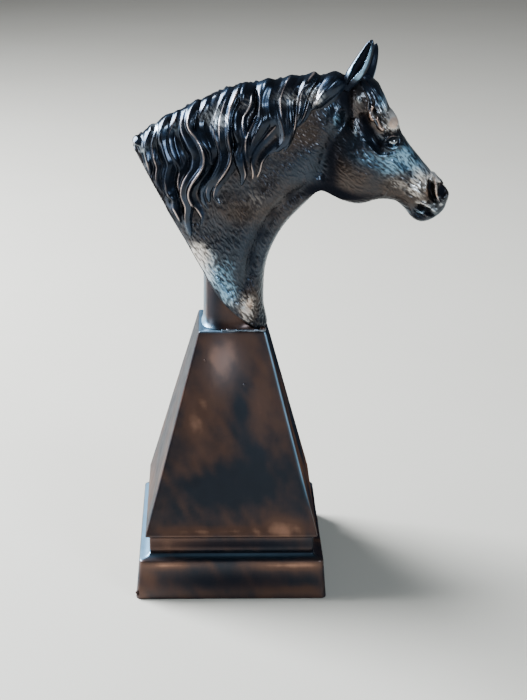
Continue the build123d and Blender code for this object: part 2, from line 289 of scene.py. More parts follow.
# The head's and neck's forms over the plain flank. A row that starts with a curve is a ridge along it, or a
# groove: curve, half width, height, and False where its ends don't taper. Any other row is a boss or a
# hollow: x, z, reach in x, reach in z, height, and then its turn in degrees and the steepness of its edge.
FORMS = [
    # jowl: a round plate that stands clear of the neck behind it
    (56, 199, 13, 13.6, 1.7, 0, 4),
    ([(50.6, 228), (48.6, 220), (44.6, 212), (41.4, 204), (40.4, 197), (41, 191)], 3.6, -2.2),
    ([(50.4, 240), (50.2, 235), (50.6, 229), (51, 222), (49.4, 215)], 2.8, -1.9), (45.6, 222.5, 3, 5, 1.5),
    ([(53.2, 223), (53.6, 219.4), (54.8, 216.2)], 0.9, 1.3),
    # hollow from the ear's foot down to the eye, with the facial crest under it
    ([(56.8, 226.5), (58.4, 221), (61.2, 215.6), (64.6, 211.4), (68, 209.6)], 2.6, -2.8),
    ([(58.6, 213.4), (62.4, 209.4), (66, 206.6), (70.4, 206.8), (74.6, 208.6)], 1.1, 1.1),
    ([(70, 205.4), (74.4, 200.6), (78.6, 197)], 1.4, 1), (54.4, 231.4, 3, 3.6, 1.9),
    # eye: socket, lids and brow
    (70.4, 213.6, 4.6, 4.4, 1.5, 0, 3), (71, 213.2, 2.9, 2, -2.4, 6, 4),
    ([(66.8, 212.2), (68.6, 215), (71.2, 216), (74.2, 214.6)], 0.75, 1.3),
    ([(67, 212), (69.2, 210.4), (72.4, 210.2), (74.8, 212)], 0.65, 0.9),
    ([(66.6, 216.2), (69.6, 217.8), (73.4, 217.2)], 0.45, -1), (71.4, 221, 2.9, 2.7, 2.5),
    # curls of the forelock that end over the brow
    ([(62.6, 229.6), (60.8, 226.8), (60.9, 223.8), (62.8, 221.6)], 0.95, 2.1),
    ([(62.6, 228.2), (62.6, 225.4), (63.4, 223.2)], 0.6, -1.3),
    ([(64, 225.6), (63.8, 222.6), (65.4, 219.4), (67.6, 217.8)], 1, 2.2),
    ([(65, 225.2), (66.2, 222.8), (68.4, 221.2)], 0.6, -1.2), (68.6, 225.2, 1.8, 1.6, -1),
    # face: nasal plane, veins, nostril, lips and chin
    ([(75.4, 213), (80.4, 206), (86.2, 199), (90.6, 194.4)], 1.5, 0.6),
    ([(75, 206), (80, 200), (84.8, 194.4), (87, 191)], 1.9, -0.8),
    ([(73.6, 198), (71, 193), (69, 189), (67.5, 185.4)], 0.8, 0.45),
    ([(75, 196), (78.4, 192.6), (82, 189.6), (85.4, 188)], 0.9, 0.55),
    ([(76.6, 190.4), (79.6, 187), (82.4, 185)], 0.8, 0.4),
    ([(90, 196.4), (89.9, 192.4), (90.2, 188.8), (91.5, 185.4), (94.2, 181.4)], 1.25, -2.7),
    (87.2, 187.4, 3.6, 4.4, 1, -35),
    ([(91.2, 196.2), (92.2, 192.4), (92.6, 188.4), (93.3, 185.6), (96, 182.2)], 0.7, 1.3),
    ([(91.6, 196), (94.4, 193.2), (97, 190.8)], 0.8, 1), (95.4, 188.4, 1.75, 2.5, -2.6, 14, 4),
    ([(94.4, 187), (96, 184.6)], 0.4, 0.8, False),
    ([(83.8, 182.2), (86.9, 180.4), (90.1, 177.9), (93, 176.2)], 0.7, -1.7),
    ([(84.6, 184.2), (88.2, 182.4), (91.6, 180), (94.2, 178.2)], 0.75, 1.3),
    ([(88.6, 184.6), (91, 182.4), (93.4, 180.6)], 0.5, -1.1),
    ([(82.6, 181.2), (86.2, 178.9), (89.8, 176.4)], 0.55, 1.2),
    ([(82.2, 179), (85.8, 176.8), (88.6, 175.4)], 0.7, -0.7), (84.8, 175.9, 3, 1.9, 0.7, -20),
    # neck: jugular groove with the windpipe in front of it, and the long muscle above
    ([(38, 197), (31, 190.6), (24, 185), (18.3, 179), (13, 169.5), (8.8, 158), (6.8, 147),
      (6.4, 137)], 3, -2.5),
    ([(40, 193), (33, 185), (26, 177.5), (19.5, 168), (14.8, 157), (12.5, 146)], 2.2, 0.9),
    ([(43, 214), (30, 203), (17, 190), (7, 174), (0.5, 156), (1, 140)], 5, 1.1),
    ([(-14, 160), (-9, 150.6), (-3, 142), (5, 133), (9, 128.6)], 1.5, 0.5),
]


# ---- mane ----
# The long locks on the right side, from the poll back to the cut: curves from the crest to the tip, with
# the half width in the middle and the height of each lock over the neck. The last one is lower down.
LOCKS_RIGHT = [
    ([(49, 242), (45.5, 238), (41, 233.4), (37.4, 229.6), (35.2, 227.2)], 2.6, 2.6),
    ([(46, 242), (40, 238.4), (35.6, 233.6), (33.6, 228.6), (31.2, 223), (27.6, 218.6)], 1.9, 2.9),
    ([(40, 243), (34, 238.2), (31, 232.8), (30, 227.4), (28.8, 222.6), (27.2, 218.8)], 1.8, 2.2),
    ([(36, 242), (29.6, 237.6), (26.8, 232.4), (26.1, 226), (25.8, 219.4), (24.4, 213),
      (22.2, 208.2)], 1.9, 3.2),
    ([(30, 242), (25, 237.6), (22.4, 231.6), (22.6, 225.4), (23.4, 219.4), (22.6, 213),
      (19.4, 208.6)], 1.8, 2.2),
    ([(27, 242), (20, 236.6), (17, 230.8), (17.8, 225.4), (20, 219.6), (21, 213.6),
      (16.6, 207.6)], 2.1, 3.3),
    ([(19, 241), (15.2, 235), (14, 229.6), (14.6, 223.6), (12.4, 218.4), (9.4, 213), (7.8, 206.6)], 2, 2.3),
    ([(25, 227), (20.6, 220.4), (15.4, 214.4), (11.2, 209.6), (8.8, 204), (9.3, 198.8),
      (8.8, 194)], 1.15, 1.9),
    ([(24.6, 219), (20.8, 213.4), (15.4, 208.8), (12.2, 204.2), (11.4, 199.8), (9.6, 195.2)], 1.05, 1.6),
    ([(15, 240), (12.4, 235.6), (13.2, 230.4), (12, 225), (9.4, 219.6), (6.6, 214.4), (6.2, 208.4),
      (7.4, 202)], 2, 2.8),
    ([(10, 239), (6.6, 234.4), (5.6, 229), (2.6, 224), (2.6, 218), (4, 212.6), (2.8, 207.8), (3.6, 202),
      (4.6, 198), (3.8, 193.6)], 2.1, 2.6),
    ([(6, 238), (2.2, 231.8), (-0.2, 226.4), (-0.9, 220.2), (-0.7, 214), (0.5, 208.4), (-0.4, 203),
      (-3.6, 197.6), (-6.8, 192.4), (-8, 188), (-5.8, 184.6)], 2, 3.3),
    ([(1, 236), (-1.6, 231), (-3.6, 225.6), (-4.8, 219.6), (-4.6, 213), (-3.8, 207), (-5.6, 201),
      (-9, 195.6), (-11.4, 190), (-10.8, 185.4)], 2, 2.5),
    ([(-4, 235), (-7.4, 229.6), (-9.6, 223.8), (-10.4, 217.8), (-8.6, 211.4), (-7.4, 205.4), (-9.6, 199.4),
      (-13, 194.4), (-14.6, 189.4), (-13.6, 185.4), (-11.4, 182)], 2.1, 3),
    ([(-9, 232), (-12, 226.4), (-14.4, 220.6), (-13.2, 214.6), (-9.6, 209), (-9.4, 203)], 1.8, 2.1),
    ([(-14, 230), (-17.6, 224.6), (-18.6, 219.8), (-15.4, 215.8), (-12.6, 210.8), (-11.4, 205.4),
      (-12.6, 200.4), (-16.4, 195.4), (-18.8, 190), (-17.8, 185.4), (-15.2, 181.6), (-13.6, 178),
      (-14.1, 174.6)], 2, 3.4),
    ([(-18, 228), (-20.6, 223), (-21.6, 217.6), (-18.8, 211.6), (-16.4, 206), (-17.4, 200), (-21, 194.6),
      (-22.4, 188.6), (-20.6, 183), (-20.8, 177), (-19.2, 169.6)], 2, 2.4),
    ([(-22, 226), (-24.4, 220.4), (-27, 214.6), (-26.6, 209.4), (-24.4, 204.6), (-22.4, 199.8),
      (-23.8, 194.4), (-23.2, 189.4), (-21, 185)], 2, 3.2),
    ([(-26, 224), (-29.2, 219), (-30.6, 213.4), (-29.4, 207.6), (-27.6, 202), (-28.8, 196), (-28.4, 190.6),
      (-25.6, 186.4), (-25.4, 181.4), (-23.6, 176)], 2.1, 2.4),
    ([(-30, 222), (-32.4, 216.4), (-34.4, 210.6), (-34.4, 205.4), (-33, 200), (-33.6, 194.4),
      (-31.6, 189)], 1.9, 3),
    ([(-34, 219), (-36.4, 213.8), (-38, 208.6), (-37.4, 203), (-37, 197)], 1.8, 2.3),
    ([(-38, 216), (-40.4, 210.6), (-41.4, 205.6)], 1.8, 2.8),
    ([(-42, 213), (-44, 208.6)], 1.8, 2.2),
    ([(-28, 190), (-27, 185), (-24.4, 180.4), (-22.6, 174.4)], 1.9, 2.9),
]
FORELOCK = [
    ([(57, 243), (62.6, 236.6), (66.6, 231.2), (68.8, 226), (70.4, 222.6)], 1.5, 1.5),
    ([(56, 241), (60.8, 234.6), (64.4, 229.4), (66.6, 225), (69.4, 221.4)], 1.4, 1.2),
    ([(57.4, 238), (60.6, 231.8), (60.8, 227.6), (62.4, 223.8), (64.8, 220), (67.6, 216.6)], 1.2, 1.6),
    ([(58.6, 239), (63, 232), (63.6, 227), (65.6, 222.8), (68.6, 219.6)], 1.2, 1.3),
]


def lay_lock(target, points, half_width, height, level, lean, strands, phase, comb_depth=0.07,
             crest_rub_and_highlight=None, rubbed=0.0):
    """Raises one lock on a map: it peaks off its middle, thins out to its tip and is combed in strands."""
    box, near, side, share = trace(points, half_width * 1.25, per_span=7)
    width = half_width * (1.12 - 0.25 * share) * np.sqrt(np.clip(1.04 - share**3.2, 0.02, 1))
    v = side * near / width
    peak = 0.5 * lean
    run = np.where(v < peak, 1 + peak, 1 - peak)
    slope = 1 - np.abs(v - peak) / run
    dome = np.clip(1.12 * slope - 0.12 * slope**6, 0, 1) ** 0.85
    comb = np.abs(np.sin(0.5 * math.pi * (strands * v + phase + 0.6 * np.sin(4 * share + phase))))
    swell = (0.55 + 0.45 * smoothstep(0.0, 0.16, share)) * (0.3 + 0.7 * smoothstep(1.02, 0.75, share))
    body = height * swell * (dome - comb_depth * (1 - comb**0.7) * dome**0.5)
    raised = np.where((np.abs(v) < 1) & (near < FAR), level * smoothstep(1.0, 0.7, share) + body, 0)
    on_top = raised >= target[box]
    target[box] = np.maximum(target[box], raised)
    # a thin pale line along the lock's peak, partly rubbed metal and partly painted highlight, as strong as
    # rubbed says
    if crest_rub_and_highlight is not None:
        line = np.exp(-(((v - peak) * width / 0.42) ** 2)) * smoothstep(0.02, 0.15, share)
        line = line * smoothstep(1.0, 0.9, share)
        line *= rubbed * (0.6 + 0.4 * np.sin(9 * share + 3 * phase))
        crest_rub_and_highlight[box] = np.where(on_top & (np.abs(v) < 1), line, crest_rub_and_highlight[box])


def starts_at_crest(lock):
    """False for the three locks that come out from under others, lower than the sloping crest."""
    x, z = lock[0][0]
    return z - 0.55 * x > 215


def mane_right():
    """Wide rolling clumps that carry long S-shaped locks."""
    rng = np.random.default_rng(SEED + 1)
    clumps, locks, crest_rub_and_highlight = np.zeros_like(X), np.zeros_like(X), np.zeros_like(X)
    for points, half_width, height in list(filter(starts_at_crest, LOCKS_RIGHT))[::2]:
        lay_lock(clumps, points, half_width * rng.uniform(1.9, 2.3), height * rng.uniform(0.9, 1.3), 0.0,
                 1 if rng.random() < 0.85 else -1, 1.0, 0.5, comb_depth=0.0)
    for points, half_width, height in LOCKS_RIGHT:
        lay_lock(locks, points, half_width * rng.uniform(1.2, 1.8), height * rng.uniform(0.7, 1.1), 0.2,
                 1 if rng.random() < 0.8 else -1, rng.choice([2.0, 3.0]), rng.uniform(0, 2),
                 crest_rub_and_highlight=crest_rub_and_highlight, rubbed=rng.choice([0.5, 1.0, 1.6]))
    for points, half_width, height in FORELOCK:
        lay_lock(locks, points, half_width, height * 0.6, 0.2, 1, 2.0, rng.uniform(0, 2))
    return blur(clumps + 0.75 * locks, 0.14), crest_rub_and_highlight


def mane_left():
    """Short tousled locks that roll over the crest on the left side."""
    h, crest_rub_and_highlight = np.zeros_like(X), np.zeros_like(X)
    rng = np.random.default_rng(SEED + 2)
    crest = smooth_line([(47, 240), (34, 240), (16, 238), (2, 236), (-10, 231), (-24, 224), (-36, 216),
                         (-44, 210)])
    count = 26
    for layer, drop in ((0, 25.0), (1, 17.0)):
        for i in range(count):
            x, z = crest[int((i + 0.5 * layer) / count * (len(crest) - 1))]
            length = drop * rng.uniform(0.8, 1.15) * (0.7 if i > count - 5 else 1.0)
            sway = rng.uniform(1.2, 2.4) * rng.choice([-1, 1])
            points = []
            for t in np.linspace(0, 1, 6):
                wave = sway * math.sin(2 * math.pi * (0.9 * t + 0.1)) * t**0.5
                points.append((x - 0.22 * length * t + wave, z + 1 - length * t))
            lay_lock(h, points, rng.uniform(1.7, 2.3), rng.uniform(1.8, 2.6), 0.3 * layer,
                     rng.choice([-1, 1]), rng.choice([2.0, 3.0]), rng.uniform(0, 2),
                     crest_rub_and_highlight=crest_rub_and_highlight, rubbed=rng.choice([0.4, 1.2]))
    for points, half_width, height in FORELOCK:
        lay_lock(h, points, half_width, height, 0.2, 1, 2.0, 0.5)
    return h, crest_rub_and_highlight


# ---- coat ----
# Which way the short hair lies: (x, z, degrees from +X).
HAIR_LIE = [
    (-14, 160, -56), (-4, 146, -54), (6, 134, -50), (0, 165, -62), (-8, 180, -66), (6, 180, -62),
    (18, 195, -55), (28, 205, -48), (38, 214, -40), (14, 165, -70), (14, 150, -84), (24, 180, -60),
    (34, 192, -50), (44, 222, -60), (52, 206, -38), (50, 194, -30), (58, 190, -18), (60, 200, -28),
    (66, 204, -40), (70, 195, -35), (78, 198, -48), (84, 196, -46), (88, 186, -40), (64, 232, -60),
    (56, 214, -52), (74, 208, -50),
]


def coat():
    """Short combed hair strokes, noise smeared along the lie of the hair, with the lie's cosine and sine."""
    rng = np.random.default_rng(SEED)
    lie = np.radians(spread(HAIR_LIE, 8.0))
    angle = lie + 2.5 * blur(rng.standard_normal(X.shape), 2.0)
    noise = blur(rng.standard_normal(X.shape), 0.17)
    c, s = np.cos(angle), np.sin(angle)
    total = np.zeros_like(X)
    reach = 0.95
    for o in np.linspace(-reach, reach, 13):
        weight = 1 - (o / (reach * 1.15)) ** 2
        total += weight * sample(noise, X + o * c, Z + o * s)
    total /= total.std()
    return np.tanh(total * 0.9), np.cos(lie), np.sin(lie)


# ---- fields to meshes ----
def grid_over(lo, hi, step):
    """The X, Y and Z of every point of a regular grid."""
    return np.meshgrid(*(np.arange(a, b, step) for a, b in zip(lo, hi)), indexing="ij")


def skin_of_field(field, origin, step):
    """Points (mm) and quads of the surface where a field, negative inside, is zero."""
    band = 3 * step
    grid = openvdb.FloatGrid(background=band)
    grid.copyFromArray(np.ascontiguousarray(np.clip(field, -band, band), dtype=np.float32), tolerance=0.0)
    points, quads = grid.convertToQuads(isovalue=0.0)
    return points * step + np.array(origin), quads.astype(np.int32)


def link_mesh(name, mesh):
    """Smooth-shades a mesh and links an object that holds it."""
    mesh.validate()
    mesh.shade_smooth()
    obj = bpy.data.objects.new(name, mesh)
    bpy.context.scene.collection.objects.link(obj)
    return obj


def mesh_object(name, points, quads):
    """An object from points in millimetres and quads."""
    mesh = bpy.data.meshes.new(name)
    mesh.vertices.add(len(points))
    mesh.vertices.foreach_set("co", (points * MM).astype(np.float32).ravel())
    mesh.loops.add(quads.size)
    mesh.loops.foreach_set("vertex_index", quads.astype(np.int32).ravel())
    mesh.polygons.add(len(quads))
    mesh.polygons.foreach_set("loop_start", np.arange(0, quads.size, 4, dtype=np.int32))
    mesh.polygons.foreach_set("loop_total", np.full(len(quads), 4, dtype=np.int32))
    mesh.update(calc_edges=True)
    return link_mesh(name, mesh)


def mesh_from_field(name, field, origin, step):
    points, quads = skin_of_field(field, origin, step)
    return mesh_object(name, points, quads), points


def paint(obj, **layers):
    """Stores numbers on the vertices for the material to read, one for each or the same for all."""
    for name, values in layers.items():
        layer = obj.data.attributes.new(name, "FLOAT", "POINT")
        layer.data.foreach_set("value", np.full(len(layer.data), values, np.float32))


def blobs(x, z, spots):
    """Adds up soft spots of the side view at scattered points."""
    total = np.zeros(len(x))
    for cx, cz, rx, rz, amount in spots:
        total += amount * np.exp(-(((x - cx) / rx) ** 2) - ((z - cz) / rz) ** 2)
    return total


def value_noise(points, scale, seed):
    """Smooth noise in 3-D at scattered points, about -1 to 1."""
    size = 24
    lattice = np.random.default_rng(seed).uniform(-1, 1, (size, size, size))
    cell = np.floor(points / scale).astype(int)
    f = points / scale - cell
    f = f * f * (3 - 2 * f)
    total = 0
    for corner in np.ndindex(2, 2, 2):
        i, j, k = ((cell + corner) % size).T
        total = total + np.prod(np.where(corner, f, 1 - f), axis=1) * lattice[i, j, k]
    return total


# ---- bust ----
# Where the bust's finish is rubbed warm (above 0) or stays cold (below 0): x, z, reach in x, reach in z
# and amount. The tone also picks the tint of the painted highlights: pale blue where cold, golden where
# warmest.
BUST_TONE = [
    (71.4, 221, 3, 3, 2), (62, 225, 2.6, 4.5, 1), (66, 219.5, 2.5, 2.5, 1), (82, 188, 8, 6, 0.6),
    (88, 188, 3.6, 4, 0.5), (92, 194, 3, 3, 0.5), (8, 136, 3.4, 6.6, 1.5), (33, 215, 5, 5, 0.6),
    (6, 182, 9, 8, 0.5), (6, 165, 13, 22, -0.35), (-15, 161, 4, 5, 0.4), (72, 192, 5, 4, 0.5),
    (54, 194, 9, 9, 0.4), (48, 200, 5, 8, 0.3), (16, 176, 12, 8, 0.2), (5, 231, 3, 5, 0.7),
    (25, 219, 4, 12, 0.4), (33, 228, 4, 8, 0.4), (-18, 226, 4, 5, 0.3), (-11, 205, 4, 8, 0.25),
    (-18, 186, 4, 10, 0.3), (72, 206, 12, 8, -0.9), (58, 209, 8, 6, -0.6), (-26, 200, 10, 14, -0.5),
    (-3, 147, 5, 8, -0.6), (84, 177, 4, 3, -0.5), (64, 232, 4, 6, -0.4), (34, 200, 10, 10, -0.3),
    (46, 224, 5, 8, -0.5),
]
# Painted light on the bust, in the same columns: painted highlights and reflections (above 0) and painted
# shade (below 0).
BUST_PAINTED_LIGHT = [
    (-15, 160, 5.2, 5.2, 1.15), (-9, 151, 4.4, 6.6, 0.9), (-1.6, 141, 3.8, 6.6, 0.75),
    (7.2, 134.8, 3.2, 7, 0.9), (-1, 156, 3.6, 7, 0.3), (27, 204, 8, 6, 0.14), (10, 187, 8, 8, 0.22),
    (76, 206.5, 5, 4, 0.45), (70.6, 202, 6, 5, 0.6), (78.4, 201.6, 5, 4, 0.4), (60, 206, 6, 4, 0.32),
    (85.4, 197.6, 4.4, 4.4, 0.6), (80.4, 209, 4.6, 5, 0.4), (86, 201.6, 4, 4.6, 0.3),
    (10, 211, 6, 8, -0.35), (73, 192.6, 5, 3, 0.3), (83.4, 190.4, 4.8, 4.2, 0.8), (91, 195.2, 3, 2.4, 1.9),
    (54.4, 231.6, 2.4, 3, 0.6), (67, 229, 2.6, 5.6, 0.8), (46, 222, 2.2, 3.6, 0.55),
    (71.4, 221.6, 3, 3.2, 2.6), (62, 223.6, 1.6, 3.4, 0.5), (66.6, 218.6, 1.6, 1.6, 0.6),
    (54.4, 217.6, 1, 3.4, 0.7), (71.8, 210.4, 1, 0.6, 1.4), (44, 210, 3.4, 8, -0.6),
    (44.4, 198, 4.2, 9, -0.7), (48, 189.6, 5, 3, -0.4), (51, 240, 3, 6, -0.9), (49, 231, 4, 4, -0.9),
    (51.5, 225, 2.2, 6, -0.7), (58.6, 222, 2.6, 3.6, -0.9), (60.6, 216.4, 3.2, 3.6, -1.1),
    (65.4, 211.4, 3.2, 2, -0.9), (52, 187, 12, 3.4, -0.8), (66, 186, 6, 2.4, -0.5), (37, 190, 7, 5, -0.85),
    (76, 184, 4, 2, -0.5), (84.6, 176, 5, 2.2, -0.7), (86.9, 180.4, 2, 0.7, -0.8),
    (90, 178, 1.6, 0.7, -0.8), (89.8, 191.5, 1.1, 4, -1.3), (91.6, 185.4, 1, 2, -0.9),
    (95.5, 188.4, 1.5, 2.3, -1.8), (91.8, 194.4, 0.8, 1.6, 0.7), (92.6, 189.6, 0.7, 2.4, 1.1),
    (93.6, 185.4, 0.8, 1.8, 1), (95.6, 182.6, 1.2, 1, 0.8), (94.4, 193.2, 1.8, 0.7, 0.8),
    (97, 190.8, 1.1, 0.9, 0.8), (85.8, 183.8, 2, 0.8, 1.1), (89.2, 182, 1.8, 0.8, 1.1),
    (92, 180.2, 1.6, 0.9, 0.9), (86.2, 179, 2.6, 0.7, 1), (92.6, 182.4, 1.4, 1.2, 0.4),
    (26, 187, 3.2, 4, -0.55), (18.3, 179, 3.4, 5, -0.6), (13, 169.5, 3.4, 6, -0.65), (9, 158, 3, 7, -0.5),
    (7.6, 145, 2.4, 8, -0.3), (14.6, 158, 2, 10, 0.15), (-4, 172, 7, 6, -0.2), (6, 164, 5, 10, -0.2),
    (71, 213.6, 2.6, 1.8, -0.9), (-32, 192, 8, 12, -0.3), (-40, 208, 5, 4, 0.35), (-26, 218, 8, 4, 0.3),
    (-9, 223, 7, 5, 0.6), (-6.4, 221.4, 3, 4.6, 0.5), (-35, 217, 3, 3, 0.45), (6, 229, 6, 4, 0.3),
    (24, 232, 8, 4, 0.4), (36, 233, 4, 4, 0.65), (-6, 205, 22, 10, -0.5), (-26, 192, 12, 14, -0.3),
]


def bust_maps():
    """The side-view maps that shape the bust: outline, thickness, rounding, clip and each side's skin."""
    outline = outline_distance(smooth_line(OUTLINE, 6, closed=True))
    thickness = spread(THICKNESS, 5.5)
    rounding = np.minimum(spread(ROUNDING, 8.0), thickness * 0.97)
    clip = np.maximum(line_side(CUT_TOP, CUT_FOOT), curve_side(SKIRT_EDGE))
    forms = np.zeros_like(X)
    for form in FORMS:
        (ridge if isinstance(form[0], list) else bump)(forms, *form)
    forms = np.maximum(forms, 0.6 * np.minimum(outline, 0))    # grooves fade out at the outline
    muzzle = smoothstep(97.5, 92.0, X + 0.6 * (185 - Z))
    hem = smoothstep(-16.0, -4.0, clip)
    skin, covered, furry, worn = {}, {}, {}, {}
    for side, (mane, crest_rub_and_highlight) in ((RIGHT, mane_right()), (LEFT, mane_left())):
        covered[side] = smoothstep(0.15, 0.9, mane)
        furry[side] = (0.095 + 0.07 * hem) * (1 - covered[side]) * (0.35 + 0.65 * muzzle)
        skin[side] = mane + forms * (1 - 0.75 * covered[side])
        # raised against hollow, for the rub and the dark patina in hollows, plus the painted highlights along
        # the lock crests
        worn[side] = skin[side] - blur(skin[side], 1.1) + crest_rub_and_highlight
    return outline, thickness, rounding, clip, skin, covered, furry, worn


BUST_BACK, BUST_FRONT, BUST_TOP, HALF_DEPTH = -47.5, 101.0, 245.0, 20.0    # mm, what the bust's grid covers
SLIDE = 1.7                                # how far the hair's strokes slide for each mm round an edge
FLANK = 2.0                                # mm that the skin turns in before they slide


def slide_of(half, y):
    """How far the strokes slide along their lie, where the skin turns in towards the outline."""
    return SLIDE * np.maximum(half - np.abs(y) - FLANK, 0)


def make_bust():
    """Neck, head, mane and forelock, as a right and a left casting that meet along the middle."""
    outline, thickness, rounding, clip, skin, covered, furry, worn = bust_maps()
    hair, lie_x, lie_z = coat()
    # the grid has some room round the bust, and the mid-plane falls halfway between two of its rows
    rows = int(HALF_DEPTH / VOXEL) + 1
    lo = (BUST_BACK, -(rows + 0.5) * VOXEL, TOP_Z - 1.4)
    hi = (BUST_FRONT, (rows + 1) * VOXEL, BUST_TOP)
    xs, ys, zs = (np.arange(a, b, VOXEL) for a, b in zip(lo, hi))
    gx, gz = np.meshgrid(xs, zs, indexing="ij")
    maps = (outline, thickness, rounding, clip, skin[RIGHT], skin[LEFT], furry[RIGHT], furry[LEFT],
            lie_x, lie_z)
    edge, half, radius, cut, right, left, fur_right, fur_left, turn_x, turn_z = (
        sample(values, gx, gz).astype(np.float32) for values in maps)
    field = np.empty((len(xs), len(ys), len(zs)), np.float32)
    for j, y in enumerate(ys):
        share = float(smoothstep(-2.0, 2.0, y))
        raised = right * (1 - share) + left * share
        a, b = edge + radius, abs(y) - half + radius
        f = np.minimum(np.maximum(a, b), 0) + np.hypot(np.maximum(a, 0), np.maximum(b, 0)) - radius
        slide = slide_of(half, y)
        strokes = sample(hair, gx + slide * turn_x, gz + slide * turn_z)
        raised = raised + (fur_right if y < 0 else fur_left) * strokes
        field[:, j, :] = np.maximum(np.maximum(f - raised, cut), TOP_Z - zs[None, :])
    points, quads = skin_of_field(field, lo, VOXEL)

    # the vertices next to the mid-plane are moved onto it
    points[np.abs(points[:, 1]) < 0.5001 * VOXEL, 1] = 0.0
    middle = points[quads, 1].sum(axis=1)
    halves = []
    for name, side in (("bust_right", RIGHT), ("bust_left", LEFT)):
        used, faces = np.unique(quads[middle * side > 0], return_inverse=True)
        obj = mesh_object(name, points[used], faces.reshape(-1, 4))
        x, y, z = points[used].T
        slide = slide_of(sample(thickness, x, z), y)
        strokes = sample(hair, x + slide * sample(lie_x, x, z), z + slide * sample(lie_z, x, z))
        skin_only = smoothstep(-0.35, -0.6, sample(clip, x, z))
        # light holds the bust's painted highlights and reflections (above 0) and painted shade (below 0), and
        # the cut faces are a little darker; the wear attribute also carries painted crest highlights
        paint(obj, mane=sample(covered[side], x, z) * (0.3 + 0.7 * skin_only),
              worn=sample(worn[side], x, z) * skin_only, hair=strokes * skin_only,
              tone=blobs(x, z, BUST_TONE) * skin_only,
              light=blobs(x, z, BUST_PAINTED_LIGHT) * skin_only - 0.4 * (1 - skin_only))
        close_along_middle(obj)
        halves.append(obj)
    return halves


def close_along_middle(obj):
    """Fills the open mid-plane of a half and keeps the rim's edges sharp, so the two skins meet cleanly."""
    bm = bmesh.new()
    bm.from_mesh(obj.data)
    rim = [e for e in bm.edges if e.is_boundary]
    bmesh.ops.triangle_fill(bm, use_beauty=False, use_dissolve=False, edges=rim)
    for e in rim:
        e.smooth = False
    bmesh.ops.recalc_face_normals(bm, faces=bm.faces)
    bm.to_mesh(obj.data)
    bm.free()


# ---- ears and eyes ----
def make_ear(name, foot, tip, radius, opening, thick_edge):
    """A cupped ear: a blunt leaf, scooped out on the side that it is turned to, with one edge thicker."""
    foot, tip = np.array(foot, float), np.array(tip, float)
    step = 0.2
    lo = np.minimum(foot, tip) - radius - 1.5
    gx, gy, gz = grid_over(lo, np.maximum(foot, tip) + radius + 1.2, step)
    axis = tip - foot
    length = np.linalg.norm(axis)
    axis /= length
    out = np.array(opening, float)
    out -= out.dot(axis) * axis
    out /= np.linalg.norm(out)
    # along the ear, out of its opening, and across it
    along, u, v = ((gx - foot[0]) * way[0] + (gy - foot[1]) * way[1] + (gz - foot[2]) * way[2]
                   for way in (axis, out, np.cross(axis, out)))
    t = np.clip(along / length, 0, 1)
    belly = np.sin(t * math.pi)
    leaf = radius * (0.94 + 0.1 * belly) * np.sqrt(np.clip(1 - t**2.4, 0.003, 1))
    leaf = leaf * (0.6 + 0.4 * smoothstep(0.0, 0.3, t))
    u = u + 0.25 * leaf
    v = v + 0.22 * radius * belly * np.sign(thick_edge)
    across = np.hypot(u * 1.18, v)
    outer = np.maximum(np.maximum((across - leaf) / 1.09, along - length), -along)
    outer -= 0.13 * radius * np.exp(-(((across - leaf * 0.96) / 0.6) ** 2)) * smoothstep(-0.4, 0.5, u)
    # the scoop starts above the foot and stops short of the tip, with a fold of skin down it
    gape = 0.2 + 0.46 * smoothstep(0.12, 0.5, t)
    scoop = np.hypot((u - 0.80 * leaf) * 0.9, (v - thick_edge * leaf) * 1.05) - leaf * gape
    scoop = np.maximum(np.maximum(scoop, (0.1 - t) * length * 0.7), (t - 0.95) * length)
    fold = 0.3 * np.exp(-(((v - 0.25 * leaf) / 0.55) ** 2)) * smoothstep(0.1, 0.35, t)
    obj, points = mesh_from_field(name, -smooth_min(scoop + fold, -outer, 0.3), lo, step)
    depth = (points - foot) @ out
    above = smoothstep(0.14, 0.34, ((points - foot) @ axis) / length)
    ahead = ((points - foot) @ (np.array([1.0, 0, 0]) - axis[0] * axis)) / radius
    rim = smoothstep(0.6, 0.85, ahead) * (foot[1] > 0)         # painted highlight on the far ear's front edge
    # light: painted highlights on the rim and outer part above the foot, painted shade over the rest of the
    # ear
    paint(obj, mane=0.75, worn=np.clip(depth * 0.25, -1, 0.35), tone=-0.3,
          hair=0.5 * value_noise(points + 50, 1.3, SEED + 12),
          light=(smoothstep(0.0, 1.7, depth) * 1.7 + 1.5 * rim) * above - 0.7)
    return obj


def make_eye(name, centre, radius):
    """An eyeball with a raised cornea."""
    step = 0.16
    lo = np.full(3, -radius * 1.4)
    gx, gy, gz = grid_over(lo, -lo, step)
    ball = np.sqrt(gx**2 + gy**2 + gz**2) - radius
    face = math.copysign(1, centre[1])
    cornea = np.sqrt((gx - 0.1) ** 2 + (gy - face * radius * 0.42) ** 2 + gz**2) - radius * 0.68
    return mesh_from_field(name, smooth_min(cornea, ball, 0.3), np.array(centre) + lo, step)[0]


